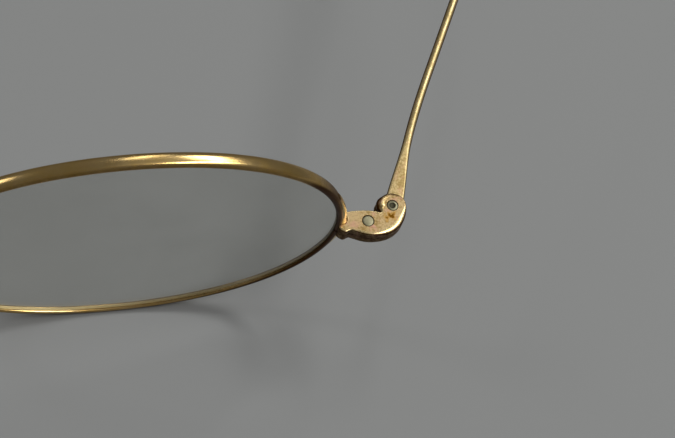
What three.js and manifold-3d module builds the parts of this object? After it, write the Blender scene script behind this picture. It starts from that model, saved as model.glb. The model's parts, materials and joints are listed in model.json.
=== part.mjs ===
// Oval wire spectacles: eyewires closed by a screw in a split end piece, a saddle bridge,
// and riding-bow temples hinged in the end pieces.
// Millimetres, +Z up. The wearer is behind the lenses on +Y, with the left eye on +X.
import * as THREE from 'three';
import { mergeVertices } from 'three/addons/utils/BufferGeometryUtils.js';
import Module from 'manifold-3d';

const wasm = await Module();
wasm.setup();

// Lenses and eyewires
const lensCentreDistance = 62;
const eyeWidth = 38.8;
const eyeHeight = 29.8;
const eyeFullness = 0.2;
const eyewireDepth = 1.34;
const eyewireThickness = 0.62;
const eyewireEdgeRound = 0.24;
const grooveDepth = 0.28;
const grooveLip = 0.2;
const lipRound = 0.12;
const lensClearance = 0.05;
const lensCrown = 0.35;
const eyewireEndGap = 0.16;
const eyeSteps = 64;
const lensRings = 3;

// End piece: two halves meeting on the hinge's middle plane, seen from above as a comma
const hingeDrop = 0.75;
const endpieceHeight = 1.75;
const endpieceChamfer = 0.18;
const endpieceSplit = 0.06;
const solderGap = 0.04;
const rootBack = 0.74;
const rootWrap = 0.38;
const nubSide = 0.72;
const nubFront = 1.2;
const nubOut = 0.15;
const nubCornerFront = 1.05;
const nubCornerIn = 0.24;
const waistFront = 1;
const waistOut = 0.77;
const armArcRadius = 2.72;
const armBackSwell = 0.1;
const armReach = 4.82;
const pivotBack = 1;
const knuckleRadius = 1.24;
const notchAngle = 205;
const strapReach = 6.4;
const strapThickness = 0.34;
const strapTipThickness = 0.06;
const strapWidth = 1;
const strapTipWidth = 0.64;
const strapRound = 0.12;
const strapSteps = 10;
const outlineSteps = 10;

// Closing screw and pivot screw
const closingOut = 2.36;
const closingForward = 0.3;
const closingRadius = 0.5;
const pivotRadius = 0.48;
const pivotDimpleRadius = 0.27;
const pivotDimpleDepth = 0.12;
const screwClearance = 0.03;
const screwSink = 0.03;
const screwHeadExtra = 0.34;
const screwHeadHeight = 0.42;
const screwSlotWidth = 0.24;
const screwSlotDepth = 0.18;
const headSeatGap = 0.03;
const roundSides = 24;

// Temple: an eye and a flat tongue that runs into round wire, a long bow and an ear curl
const tongueThickness = 0.62;
const tongueGap = 0.04;
const eyeRadius = 1.1;
const tongueOffset = 0.18;
const tongueRootWidth = 1.66;
const tongueTaperEnd = 7.2;
const tongueFlatStart = 3.4;
const tongueFlatEnd = 9.4;
const tongueEdge = 0.06;
const wireDiameter = 0.78;
const tongueSplay = 21;
const wireSplay = 27.6;
const earSplay = -3;
const bendStart = 3;
const bendEnd = 15.4;
const bowStart = 23;
const bowEnd = 68;
const droopStart = 24;
const droopEnd = 60;
const droop = 4.5;
const templeReach = 100;
const curlRadius = 17;
const curlSweep = 150;
const tongueSteps = 15;
const bowSteps = 24;
const curlSteps = 20;
const foldAngle = 98;

// Ball on the free end of each temple
const tipDiameter = 1.6;
const tipSocketDepth = 0.6;
const tipClearance = 0.03;
const tipSteps = 8;

// Saddle bridge: arms from the nasal sides of the eyewires to a flattened crest over the nose
const bridgeWire = 1.2;
const bridgeFootRise = 2.2;
const bridgeShoulderIn = 4.2;
const bridgeShoulderBack = 1.1;
const bridgeShoulderRise = 1.3;
const bridgeCrestRise = 7.4;
const bridgeCrestBack = 2.6;
const saddleHalfSpan = 3.2;
const saddleFall = 1;
const saddleEndForward = 0.4;
const saddleWidth = 2.4;
const saddleThickness = 0.9;
const saddleFlatEnd = 1.8;
const saddleRoundStart = 6.3;
const noseSlope = 32;
const bridgeSteps = 40;

const halfEyeWidth = eyeWidth / 2;
const halfEyeHeight = eyeHeight / 2;
const degrees = Math.PI / 180;
const octagonCorner = 1 - Math.tan(22.5 * degrees);

// Angle on the oval, at the end piece, where the two halves and the eyewire's ends meet
const splitAngle = Math.asin(-hingeDrop / halfEyeHeight);

const gold = new THREE.MeshStandardMaterial({ color: '#b98d47', roughness: 0.34, metalness: 1 });
const steel = new THREE.MeshStandardMaterial({ color: '#84887c', roughness: 0.42, metalness: 1 });
const glass = new THREE.MeshStandardMaterial({
  color: '#c9cbc6', roughness: 0.06, metalness: 0, transparent: true, opacity: 0.3,
});

// Geometry with only positions and an index, its faces turned outwards
function closedGeometry(points, faces) {
  const geometry = new THREE.BufferGeometry();
  geometry.setAttribute('position', new THREE.Float32BufferAttribute(points, 3));
  geometry.setIndex(faces);
  return outward(geometry);
}

// Turns the faces over if the geometry encloses a negative volume
function outward(geometry) {
  const p = geometry.getAttribute('position');
  const index = geometry.index.array;
  const corners = [new THREE.Vector3(), new THREE.Vector3(), new THREE.Vector3()];
  let volume = 0;
  for (let i = 0; i < index.length; i += 3) {
    corners.forEach((corner, k) => corner.fromBufferAttribute(p, index[i + k]));
    volume += corners[0].dot(corners[1].clone().cross(corners[2]));
  }
  if (volume < 0) {
    for (let i = 0; i < index.length; i += 3) {
      [index[i], index[i + 1]] = [index[i + 1], index[i]];
    }
  }
  geometry.computeVertexNormals();
  return geometry;
}

// Skin through rings of points. A ring of one point closes the skin to a pole; a longer end
// ring is closed by the triangles of its section.
function skin(rings, section) {
  const points = rings.flat().flatMap((point) => point.toArray());
  const faces = [];
  let start = 0;
  for (let i = 0; i + 1 < rings.length; i += 1) {
    const next = start + rings[i].length;
    const count = Math.max(rings[i].length, rings[i + 1].length);
    const here = (j) => start + (rings[i].length > 1 ? j % count : 0);
    const there = (j) => next + (rings[i + 1].length > 1 ? j % count : 0);
    for (let j = 0; j < count; j += 1) {
      if (rings[i].length > 1) faces.push(here(j), here(j + 1), there(j));
      if (rings[i + 1].length > 1) faces.push(here(j + 1), there(j + 1), there(j));
    }
    start = next;
  }
  if (section) {
    for (const [a, b, c] of THREE.ShapeUtils.triangulateShape(section, [])) {
      faces.push(a, c, b);
      faces.push(start + a, start + b, start + c);
    }
  }
  return closedGeometry(points, faces);
}

// A section as counter-clockwise 2-D points
function counterClockwise(pairs) {
  const section = pairs.map(([u, v]) => new THREE.Vector2(u, v));
  return THREE.ShapeUtils.isClockWise(section) ? section.reverse() : section;
}

// Bar section of eight corners: a flat tongue with eased edges, or round wire
function barSection(width, height, corner) {
  const u = width / 2;
  const v = height / 2;
  return counterClockwise([
    [u, corner - v], [u, v - corner], [u - corner, v], [corner - u, v],
    [-u, v - corner], [-u, corner - v], [corner - u, -v], [u - corner, -v],
  ]);
}

// Any eight-cornered section, for the triangles that close a bar's ends
const capSection = barSection(1, 1, octagonCorner / 2);

// Geometry to a solid for joining and cutting, and back
function toSolid(geometry) {
  const bare = new THREE.BufferGeometry();
  bare.setAttribute('position', geometry.getAttribute('position'));
  if (geometry.index) bare.setIndex(geometry.index);
  const merged = outward(mergeVertices(bare, 1e-5));
  return new wasm.Manifold(new wasm.Mesh({
    numProp: 3,
    vertProperties: new Float32Array(merged.getAttribute('position').array),
    triVerts: new Uint32Array(merged.index.array),
  }));
}

function toGeometry(solid) {
  const mesh = solid.getMesh();
  return closedGeometry(Array.from(mesh.vertProperties), Array.from(mesh.triVerts));
}

// Upright cylinder centred on a height
function upright(radius, height, x, y, z) {
  const cylinder = new THREE.CylinderGeometry(radius, radius, height, roundSides);
  return toSolid(cylinder.rotateX(Math.PI / 2).translate(x, y, z));
}

// Point on a curve that follows the eyewire's outer oval at a distance out from it. The oval is
// an ellipse that is filled out at its four shoulders.
function ovalPoint(angle, out, back) {
  const cos = Math.cos(angle);
  const sin = Math.sin(angle);
  const length = Math.hypot(halfEyeHeight * cos, halfEyeWidth * sin);
  const beyond = (out + eyeFullness * Math.sin(2 * angle) ** 2) / length;
  return new THREE.Vector3(
    (halfEyeWidth + beyond * halfEyeHeight) * cos,
    back,
    (halfEyeHeight + beyond * halfEyeWidth) * sin,
  );
}

// Angles round the oval, from one end of the eyewire at the end piece to the other
function eyeAngles() {
  const halfGap = eyewireEndGap / 2 / halfEyeHeight;
  const span = 2 * Math.PI - 2 * halfGap;
  const first = splitAngle + halfGap;
  return Array.from({ length: eyeSteps + 1 }, (_, i) => first + span * i / eyeSteps);
}

// Eyewire: rounded outside, a V groove inside that holds the lens, ends apart at the end piece
function eyewire() {
  const half = eyewireDepth / 2;
  const inner = -eyewireThickness;
  const lip = half - grooveLip;
  const ease = eyewireEdgeRound * octagonCorner / 2;
  const section = counterClockwise([
    [0, eyewireEdgeRound - half], [0, half - eyewireEdgeRound], [-ease, half - ease],
    [-eyewireEdgeRound, half], [inner + lipRound, half], [inner, half - lipRound], [inner, lip],
    [inner + grooveDepth, 0], [inner, -lip], [inner, lipRound - half], [inner + lipRound, -half],
    [-eyewireEdgeRound, -half], [-ease, ease - half],
  ]);
  const rings = eyeAngles().map((angle) => section.map(({ x, y }) => ovalPoint(angle, x, y)));
  return skin(rings, section);
}

// Lens: crowned on both faces, with a bevelled edge that lies in the eyewire's groove
function lens() {
  const lip = eyewireDepth / 2 - grooveLip;
  const inset = lensClearance * Math.hypot(grooveDepth, lip) / lip;
  const faceEdge = -eyewireThickness - inset;
  const angles = eyeAngles().slice(0, -1);
  const faceRing = (share, side) => angles.map((angle) => {
    const edge = ovalPoint(angle, faceEdge, 0);
    const crown = lip + lensCrown * (1 - share * share);
    return new THREE.Vector3(edge.x * share, side * crown, edge.z * share);
  });
  const shares = Array.from({ length: lensRings }, (_, i) => (i + 1) / lensRings);
  const apex = lip + lensCrown;
  return skin([
    [new THREE.Vector3(0, -apex, 0)],
    ...shares.map((share) => faceRing(share, -1)),
    angles.map((angle) => ovalPoint(angle, faceEdge + grooveDepth, 0)),
    ...shares.toReversed().map((share) => faceRing(share, 1)),
    [new THREE.Vector3(0, apex, 0)],
  ]);
}

// The end piece from above: a nub on the eyewire, a waist, a bowed front and a round knuckle
function endpieceOutline() {
  const arcOut = armReach + knuckleRadius - armArcRadius;
  const front = pivotBack - armArcRadius;
  const run = arcOut - waistOut;
  const dip = -waistFront - front;
  const nubEase = (waistOut - nubOut) / 2;
  const outline = new THREE.Shape();
  outline.moveTo(-rootWrap, -nubSide);
  outline.quadraticCurveTo(-nubCornerIn, -nubCornerFront, nubOut, -nubFront);
  outline.bezierCurveTo(
    nubOut + nubEase, -nubFront, waistOut - nubEase, -waistFront, waistOut, -waistFront,
  );
  outline.bezierCurveTo(
    waistOut + run / 4, -waistFront - dip / 2, arcOut - run / 2, front, arcOut, front,
  );
  outline.absarc(arcOut, pivotBack, armArcRadius, -Math.PI / 2, 0);
  outline.absarc(armReach, pivotBack, knuckleRadius, 0, notchAngle * degrees);
  outline.quadraticCurveTo(closingOut, rootBack + armBackSwell, waistOut, rootBack);
  outline.lineTo(-rootWrap, rootBack);
  return outline;
}

// Tongue width along its length, from the temple's eye to the round wire
function tongueWidth(along) {
  const taper = THREE.MathUtils.smoothstep(along, 0, tongueTaperEnd);
  return THREE.MathUtils.lerp(tongueRootWidth, wireDiameter, taper);
}

// Room for the temple's eye and for its tongue turned to the folded place
function hingeSlot() {
  const height = tongueThickness + 2 * tongueGap;
  const tongue = new THREE.Shape();
  const side = (along) => tongueWidth(along) / 2 + 2 * tongueGap;
  tongue.moveTo(0, side(0));
  tongue.lineTo(tongueTaperEnd, side(tongueTaperEnd));
  tongue.lineTo(tongueTaperEnd, -side(tongueTaperEnd));
  tongue.lineTo(0, -side(0));
  const folded = new THREE.ExtrudeGeometry(tongue, { depth: height, bevelEnabled: false });
  folded.translate(0, -tongueOffset, -height / 2);
  folded.rotateZ(Math.PI / 2 - (tongueSplay - foldAngle) * degrees);
  folded.translate(armReach, pivotBack, 0);
  const slotRadius = knuckleRadius + 2 * tongueGap;
  return upright(slotRadius, height, armReach, pivotBack, 0).add(toSolid(folded));
}

// Strap of the end piece that lies along the eyewire, rounded outside, and thins towards its tip
function eyewireStrap(direction) {
  const { lerp } = THREE.MathUtils;
  const sections = Array.from({ length: strapSteps + 1 }, (_, i) => {
    const share = i / strapSteps;
    const angle = splitAngle + direction * lerp(endpieceSplit, strapReach, share) / halfEyeHeight;
    const thickness = lerp(strapThickness, strapTipThickness, share * share);
    const out = solderGap + thickness;
    const side = lerp(strapWidth, strapTipWidth, share) / 2;
    const round = Math.min(strapRound, thickness / 2);
    const section = counterClockwise([
      [solderGap, -side], [out - round, -side], [out, round - side],
      [out, side - round], [out - round, side], [solderGap, side],
    ]);
    return { angle, section };
  });
  const rings = sections.map(({ angle, section }) => section.map(({ x, y }) => ovalPoint(angle, x, y)));
  return skin(rings, sections[0].section);
}

// The eyewire's space grown by the solder gap, about an angle of the oval, to seat what is
// soldered there. The spare depth clears a piece that is wider than the eyewire.
function eyewireSeat(middle, spareDepth) {
  const half = eyewireDepth / 2 + solderGap + spareDepth;
  const inner = -2 * eyewireThickness;
  const ease = eyewireEdgeRound * octagonCorner / 2;
  const section = counterClockwise([
    [solderGap, eyewireEdgeRound - half], [solderGap, half - eyewireEdgeRound],
    [solderGap - ease, half - ease], [solderGap - eyewireEdgeRound, half], [inner, half],
    [inner, -half], [solderGap - eyewireEdgeRound, -half], [solderGap - ease, ease - half],
  ]);
  const reach = (endpieceHeight + strapReach) / halfEyeHeight;
  const steps = eyeSteps / 4;
  const rings = Array.from({ length: steps + 1 }, (_, i) => {
    const angle = middle + reach * (2 * i / steps - 1);
    return section.map(({ x, y }) => ovalPoint(angle, x, y));
  });
  return skin(rings, section);
}

// One half of the end piece: direction 1 is the upper half, -1 the lower
function endpieceHalf(direction) {
  const body = new THREE.ExtrudeGeometry(endpieceOutline(), {
    depth: endpieceHeight - 2 * endpieceChamfer,
    bevelThickness: endpieceChamfer,
    bevelSize: endpieceChamfer,
    bevelOffset: -endpieceChamfer,
    bevelSegments: 1,
    curveSegments: outlineSteps,
  });
  body.translate(0, 0, endpieceChamfer - endpieceHeight / 2);
  const keep = new THREE.BoxGeometry(4 * armReach, 4 * armReach, endpieceHeight);
  keep.translate(0, 0, direction * (endpieceHeight + endpieceSplit) / 2);
  const bore = endpieceHeight * 2;
  const strap = eyewireStrap(direction).translate(-halfEyeWidth, 0, hingeDrop);
  const seat = eyewireSeat(splitAngle, 0).translate(-halfEyeWidth, 0, hingeDrop);
  const half = toSolid(body)
    .intersect(toSolid(keep))
    .add(toSolid(strap))
    .subtract(toSolid(seat))
    .subtract(hingeSlot())
    .subtract(upright(closingRadius + screwClearance, bore, closingOut, -closingForward, 0))
    .subtract(upright(pivotRadius + screwClearance, bore, armReach, pivotBack, 0));
  return toGeometry(half);
}

// Screw through the end piece: its end just below the upper face, a slotted head underneath
function screw(radius, dimpleRadius, dimpleDepth) {
  const top = endpieceHeight / 2 - screwSink;
  const seat = -endpieceHeight / 2 - headSeatGap;
  const headRadius = radius + screwHeadExtra;
  const profile = [
    [0, seat - screwHeadHeight], [headRadius, seat - screwHeadHeight], [headRadius, seat],
    [radius, seat], [radius, top], [dimpleRadius, top], [0, top - dimpleDepth],
  ].map(([x, y]) => new THREE.Vector2(x, y));
  const shank = new THREE.LatheGeometry(profile, roundSides).rotateX(Math.PI / 2);
  const slot = new THREE.BoxGeometry(screwSlotWidth, headRadius * 3, screwSlotDepth * 2);
  slot.translate(0, 0, seat - screwHeadHeight);
  return toGeometry(toSolid(shank).subtract(toSolid(slot)));
}

// Directions of the temple at a length along it: sideways splay and downward droop, radians
function templeHeading(along) {
  const { smoothstep, clamp } = THREE.MathUtils;
  const bend = (wireSplay - tongueSplay) * smoothstep(along, bendStart, bendEnd);
  const bow = (earSplay - wireSplay) * smoothstep(along, bowStart, bowEnd);
  const curlLength = curlRadius * curlSweep * degrees;
  const curl = curlSweep * clamp((along - templeReach) / curlLength, 0, 1);
  return {
    splay: (tongueSplay + bend + bow) * degrees,
    fall: (droop * smoothstep(along, droopStart, droopEnd) + curl) * degrees,
  };
}

function templeDirection(along) {
  const { splay, fall } = templeHeading(along);
  return new THREE.Vector3(
    Math.sin(splay) * Math.cos(fall), Math.cos(splay) * Math.cos(fall), -Math.sin(fall),
  );
}

// Lengths along the temple where its skin has a ring
function templeStations() {
  const end = templeReach + curlRadius * curlSweep * degrees;
  const spread = (from, to, steps) => Array.from(
    { length: steps }, (_, i) => from + (to - from) * i / steps,
  );
  return [
    ...spread(0, bendEnd, tongueSteps), ...spread(bendEnd, templeReach, bowSteps),
    ...spread(templeReach, end, curlSteps), end,
  ];
}

// Points of the temple's centre line at those lengths, the headings added up in fine steps
function templePath() {
  const stations = templeStations();
  const finest = 0.25;
  const place = new THREE.Vector3(tongueOffset, 0, 0);
  return stations.map((along, i) => {
    const from = i > 0 ? stations[i - 1] : 0;
    const steps = Math.max(1, Math.ceil((along - from) / finest));
    for (let k = 0; k < steps; k += 1) {
      const middle = from + (along - from) * (k + 0.5) / steps;
      place.addScaledVector(templeDirection(middle), (along - from) / steps);
    }
    return { along, place: place.clone() };
  });
}

// Temple about its pivot: eye and tongue flat in the hinge, then wire to the end of the curl
function temple() {
  const wireCorner = octagonCorner * wireDiameter / 2;
  const rings = templePath().map(({ along, place }) => {
    const round = THREE.MathUtils.smoothstep(along, tongueFlatStart, tongueFlatEnd);
    const height = THREE.MathUtils.lerp(tongueThickness, wireDiameter, round);
    const corner = THREE.MathUtils.lerp(tongueEdge, wireCorner, round);
    const { splay } = templeHeading(along);
    const across = new THREE.Vector3(Math.cos(splay), -Math.sin(splay), 0);
    const up = across.clone().cross(templeDirection(along));
    return barSection(tongueWidth(along), height, corner).map(({ x, y }) => place.clone()
      .addScaledVector(across, x).addScaledVector(up, y));
  });
  const blade = toSolid(skin(rings, capSection));
  const bore = upright(pivotRadius + screwClearance, tongueThickness * 2, 0, 0, 0);
  return toGeometry(blade.add(upright(eyeRadius, tongueThickness, 0, 0, 0)).subtract(bore));
}

// Ball with a socket for the end of the wire, pointing along the local +Y
function templeTip() {
  const radius = tipDiameter / 2;
  const socket = wireDiameter / 2 + tipClearance;
  const mouth = Math.asin(socket / radius);
  const profile = [new THREE.Vector2(0, tipClearance), new THREE.Vector2(socket, tipClearance)];
  const centre = tipClearance - tipSocketDepth + radius * Math.cos(mouth);
  for (let i = 0; i <= tipSteps; i += 1) {
    const turn = mouth + (Math.PI - mouth) * i / tipSteps;
    profile.push(new THREE.Vector2(radius * Math.sin(turn), centre - radius * Math.cos(turn)));
  }
  profile[profile.length - 1].x = 0;
  return toGeometry(toSolid(new THREE.LatheGeometry(profile, roundSides / 2)));
}

// Bridge: one swept bar from eyewire to eyewire, round at the feet and flattened at the crest
function bridge() {
  const { lerp, smoothstep } = THREE.MathUtils;
  const foot = lensCentreDistance / 2 - halfEyeWidth;
  const half = [
    [foot + eyewireThickness, 0, bridgeFootRise],
    [foot - bridgeWire / 2, 0, bridgeFootRise],
    [foot - bridgeShoulderIn, bridgeShoulderBack, bridgeFootRise + bridgeShoulderRise],
    [saddleHalfSpan, bridgeCrestBack - saddleEndForward, bridgeCrestRise - saddleFall],
  ];
  const mirror = half.toReversed().map(([x, y, z]) => [-x, y, z]);
  const points = [...half, [0, bridgeCrestBack, bridgeCrestRise], ...mirror];
  const path = new THREE.CatmullRomCurve3(points.map(([x, y, z]) => new THREE.Vector3(x, y, z)));
  const slope = noseSlope * degrees;
  const ridge = new THREE.Vector3(0, -Math.sin(slope), -Math.cos(slope));
  const rings = Array.from({ length: bridgeSteps + 1 }, (_, i) => {
    const place = path.getPoint(i / bridgeSteps);
    const tangent = path.getTangent(i / bridgeSteps);
    const round = smoothstep(Math.abs(place.x), saddleFlatEnd, saddleRoundStart);
    const width = lerp(saddleWidth, bridgeWire, round);
    const height = lerp(saddleThickness, bridgeWire, round);
    const along = ridge.clone().addScaledVector(tangent, -ridge.dot(tangent)).normalize();
    const across = tangent.clone().cross(along);
    return barSection(width, height, octagonCorner * Math.min(width, height) / 2)
      .map(({ x, y }) => place.clone().addScaledVector(along, x).addScaledVector(across, y));
  });
  const footAngle = Math.PI - Math.asin(bridgeFootRise / halfEyeHeight);
  const seat = eyewireSeat(footAngle, bridgeWire);
  seat.translate(lensCentreDistance / 2, 0, 0);
  const bar = toSolid(skin(rings, capSection));
  return toGeometry(bar.subtract(toSolid(seat)).subtract(toSolid(mirrored(seat))));
}

// The same geometry seen in a mirror, for the wearer's right side
function mirrored(geometry) {
  return outward(geometry.clone().scale(-1, 1, 1));
}

const spectacles = new THREE.Group();

function addPiece(parent, name, geometry, material, sign) {
  const mesh = new THREE.Mesh(sign < 0 ? mirrored(geometry) : geometry, material);
  mesh.name = name;
  parent.add(mesh);
  return mesh;
}

function addGroup(parent, sign, x, y, z) {
  const group = new THREE.Group();
  group.position.set(sign * x, y, z);
  parent.add(group);
  return group;
}

function addSide(side, sign) {
  const eye = addGroup(spectacles, sign, lensCentreDistance / 2, 0, 0);
  addPiece(eye, `${side}_eyewire`, eyewire(), gold, sign);
  addPiece(eye, `${side}_lens`, lens(), glass, sign);

  const endpiece = addGroup(eye, sign, halfEyeWidth, 0, -hingeDrop);
  addPiece(endpiece, `${side}_endpiece_upper`, endpieceHalf(1), gold, sign);
  addPiece(endpiece, `${side}_endpiece_lower`, endpieceHalf(-1), gold, sign);
  const closing = addGroup(endpiece, sign, closingOut, -closingForward, 0);
  addPiece(closing, `${side}_closing_screw`, screw(closingRadius, closingRadius, 0), steel, sign);

  const hinge = addGroup(endpiece, sign, armReach, pivotBack, 0);
  const pivot = screw(pivotRadius, pivotDimpleRadius, pivotDimpleDepth);
  addPiece(hinge, `${side}_pivot_screw`, pivot, steel, sign);
  addPiece(hinge, `${side}_temple`, temple(), gold, sign);

  const end = templePath().at(-1);
  const tipGroup = addGroup(hinge, sign, end.place.x, end.place.y, end.place.z);
  const tip = addPiece(tipGroup, `${side}_temple_tip`, templeTip(), gold, 1);
  const aim = templeDirection(end.along);
  aim.x *= sign;
  tip.quaternion.setFromUnitVectors(new THREE.Vector3(0, 1, 0), aim);
}

// Lowest world height of the pieces whose names end so, with the group turned by a pitch
function lowest(pitch, endings) {
  spectacles.rotation.x = pitch;
  spectacles.updateMatrixWorld(true);
  const box = new THREE.Box3();
  spectacles.traverse((piece) => {
    if (endings.some((ending) => piece.name.endsWith(ending))) box.expandByObject(piece, true);
  });
  return box.min.z;
}

// Pitch at which the eyewires and the ear curls stand on one level
function restingPitch() {
  const halvings = 40;
  let low = 0;
  let high = Math.PI / 4;
  for (let i = 0; i < halvings; i += 1) {
    const middle = (low + high) / 2;
    const curlHigher = lowest(middle, ['_temple', '_temple_tip']) > lowest(middle, ['_eyewire']);
    if (curlHigher) high = middle;
    else low = middle;
  }
  return (low + high) / 2;
}

addSide('left', 1);
addSide('right', -1);
addPiece(spectacles, 'bridge', bridge(), gold, 1);

spectacles.rotation.x = restingPitch();
spectacles.updateMatrixWorld(true);
const whole = new THREE.Box3().setFromObject(spectacles, true);
spectacles.position.set(0, -(whole.min.y + whole.max.y) / 2, -whole.min.z);
spectacles.updateMatrixWorld(true);

export default spectacles;
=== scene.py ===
import json
import bmesh
import bpy
import numpy as np
from mathutils import Matrix


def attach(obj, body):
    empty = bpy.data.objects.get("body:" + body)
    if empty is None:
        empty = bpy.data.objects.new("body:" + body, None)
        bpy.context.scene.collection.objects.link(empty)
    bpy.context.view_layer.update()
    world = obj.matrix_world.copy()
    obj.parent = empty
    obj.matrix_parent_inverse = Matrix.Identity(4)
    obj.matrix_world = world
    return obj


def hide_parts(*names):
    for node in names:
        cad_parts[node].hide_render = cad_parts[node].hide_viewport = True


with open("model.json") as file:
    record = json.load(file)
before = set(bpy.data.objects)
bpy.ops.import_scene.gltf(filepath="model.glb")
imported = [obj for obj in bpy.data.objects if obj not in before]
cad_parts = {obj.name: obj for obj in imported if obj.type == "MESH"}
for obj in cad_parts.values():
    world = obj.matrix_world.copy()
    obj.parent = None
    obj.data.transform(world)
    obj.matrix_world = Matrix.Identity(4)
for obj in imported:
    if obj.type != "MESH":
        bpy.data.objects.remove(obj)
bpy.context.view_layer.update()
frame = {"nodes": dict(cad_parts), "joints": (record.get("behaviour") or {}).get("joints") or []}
print("frame loaded,", len(frame["nodes"]), "nodes")

# Every piece is worked out in mm on the spectacles as worn: x to the wearer's left, y back to
# the ears, z up, lens centres on y = z = 0. The record's left hinge says how that frame stands.
metre = 1000  # in mm
eye = {"centre": 31.0, "halfWidth": 19.4, "halfHeight": 14.9, "shoulder": 0.2}
hinge = {"out": 4.82, "back": 1.0, "drop": 0.75}
joint = next(j for j in frame["joints"] if j["name"] == "left_temple_fold")
upright = np.array(joint["axis"]) / np.linalg.norm(joint["axis"])
lean = np.array([[1, 0, 0], [0, upright[2], upright[1]], [0, -upright[1], upright[2]]])
rimEnd = np.array([eye["centre"] + eye["halfWidth"], 0, -hinge["drop"]])
pivot = rimEnd + (hinge["out"], hinge["back"], 0)
stand = np.array(joint["pos_m"]) - lean @ pivot / metre
splitAngle = np.arcsin(-hinge["drop"] / eye["halfHeight"])


# From mm as worn to metres as the part stands: tipped with the hinge, then moved
def toFrame(points):
    return points / metre @ lean.T + stand


# 0 below low, 1 above high, and 3s^2 - 2s^3 between
def easeIn(value, low, high):
    share = np.clip((value - low) / (high - low), 0, 1)
    return share * share * (3 - 2 * share)


# The straight blend a + (b - a) * share
def between(a, b, share):
    return a + (b - a) * share


# sRGB hex to linear: ((s + 0.055) / 1.055)^2.4, or s / 12.92 where it is nearly black
def toLinear(colour):
    srgb = np.array([int(colour[i:i + 2], 16) for i in (1, 3, 5)]) / 255
    linear = np.where(srgb < 0.04045, srgb / 12.92, ((srgb + 0.055) / 1.055) ** 2.4)
    return (*linear.tolist(), 1.0)


# Adds a node; an input is a plain value or the socket that feeds it
def addNode(tree, kind, inputs=None, **settings):
    node = tree.nodes.new(kind)
    for key, value in settings.items():
        setattr(node, key, value)
    for key, value in (inputs or {}).items():
        if isinstance(value, bpy.types.NodeSocket):
            tree.links.new(value, node.inputs[key])
        else:
            node.inputs[key].default_value = value
    return node


# A material with an empty node tree
def newMaterial(name):
    material = bpy.data.materials.new(name)
    material.use_nodes = True
    material.node_tree.nodes.clear()
    return material, material.node_tree


# Camera: found by fitting the oval rim and the end piece to the photograph. It stands off from
# the aim, in mm from the lens's centre, by azimuth and elevation, and rolls about that line.
view = {"azimuth": -29.12, "elevation": 62.70, "roll": 21.71, "distance": 180.0,
        "pixelsPerMm": 11.404, "aim": (18.99, 0.0, 0.35), "imageWidth": 675, "sensor": 36.0,
        "nearest": 0.01}


def addCamera():
    azimuth, elevation, roll = np.radians([view["azimuth"], view["elevation"], view["roll"]])
    back = np.array([np.sin(azimuth) * np.cos(elevation),
                     -np.cos(azimuth) * np.cos(elevation), np.sin(elevation)])
    right = np.array([np.cos(azimuth), np.sin(azimuth), 0])
    up = np.cross(back, right)
    across = np.cos(roll) * right + np.sin(roll) * up
    upward = np.cos(roll) * up - np.sin(roll) * right
    place = toFrame(np.array(view["aim"]) + (eye["centre"], 0, 0) + view["distance"] * back)
    stance = np.eye(4)
    stance[:3, :3] = (np.array([across, upward, back]) @ lean.T).T
    stance[:3, 3] = place
    data = bpy.data.cameras.new("photoView")
    data.sensor_fit = "HORIZONTAL"
    data.sensor_width = view["sensor"]
    data.lens = view["pixelsPerMm"] * view["distance"] * view["sensor"] / view["imageWidth"]
    data.clip_start = view["nearest"]
    camera = bpy.data.objects.new("photoView", data)
    camera.matrix_world = Matrix(stance.tolist())
    bpy.context.scene.collection.objects.link(camera)
    bpy.context.scene.camera = camera


addCamera()
print("camera set")

# Gold-filled brass, drawn and polished, then handled for a lifetime: warm pale gold where it is
# rubbed, deeper between, copper blushing through thin places, brown tarnish where no finger goes.
# The pale gold also paints highlights, and the brown also paints shade on sides turned from the
# light.
goldFinish = {"rubbedAndHighlight": "#dcc791", "blush": "#be8f7c", "tarnishAndShade": "#45290c", "patchMm": 1.7,
              "grainMm": 0.2, "blushMm": 0.8, "grimeMm": 0.35, "scratchMm": 0.06,
              "patchRange": (0.3, 0.7), "blushRange": (0.52, 0.7), "tarnishShadeRange": (0.1, 0.95),
              "patchDulls": 0.1, "tarnishShadeDulls": 0.22, "scratchStrength": 0.35,
              "scratchDepthMm": 0.008}
rimShine = {"name": "polishedGoldFilledWire", "clean": "#cfb078", "deep": "#bb9853",
            "mottling": 0.2, "roughness": 0.16, "blushShare": 0.1, "grimeShare": 0.25,
            "polish": 0.4}
plateShine = {"name": "satinGoldFilledPlate", "clean": "#b89f74", "deep": "#8a7245",
              "mottling": 1.2, "roughness": 0.33, "blushShare": 0.75, "grimeShare": 0.8,
              "polish": 0.4}
templeShine = {"name": "drawnGoldFilledWire", "clean": "#c0a97b", "deep": "#87703f",
               "mottling": 1.0, "roughness": 0.38, "blushShare": 0.4, "grimeShare": 0.6,
               "polish": 0.0}
# a ragged brown spot on top of the plate, its place in mm from the rim's end
stain = {"place": (4.43, -0.09, 0.875), "reachMm": 0.18, "raggedMm": 2.2, "haloMm": 0.35,
         "softMm": 0.1, "colour": "#66430f", "halo": "#ab8443"}
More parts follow.
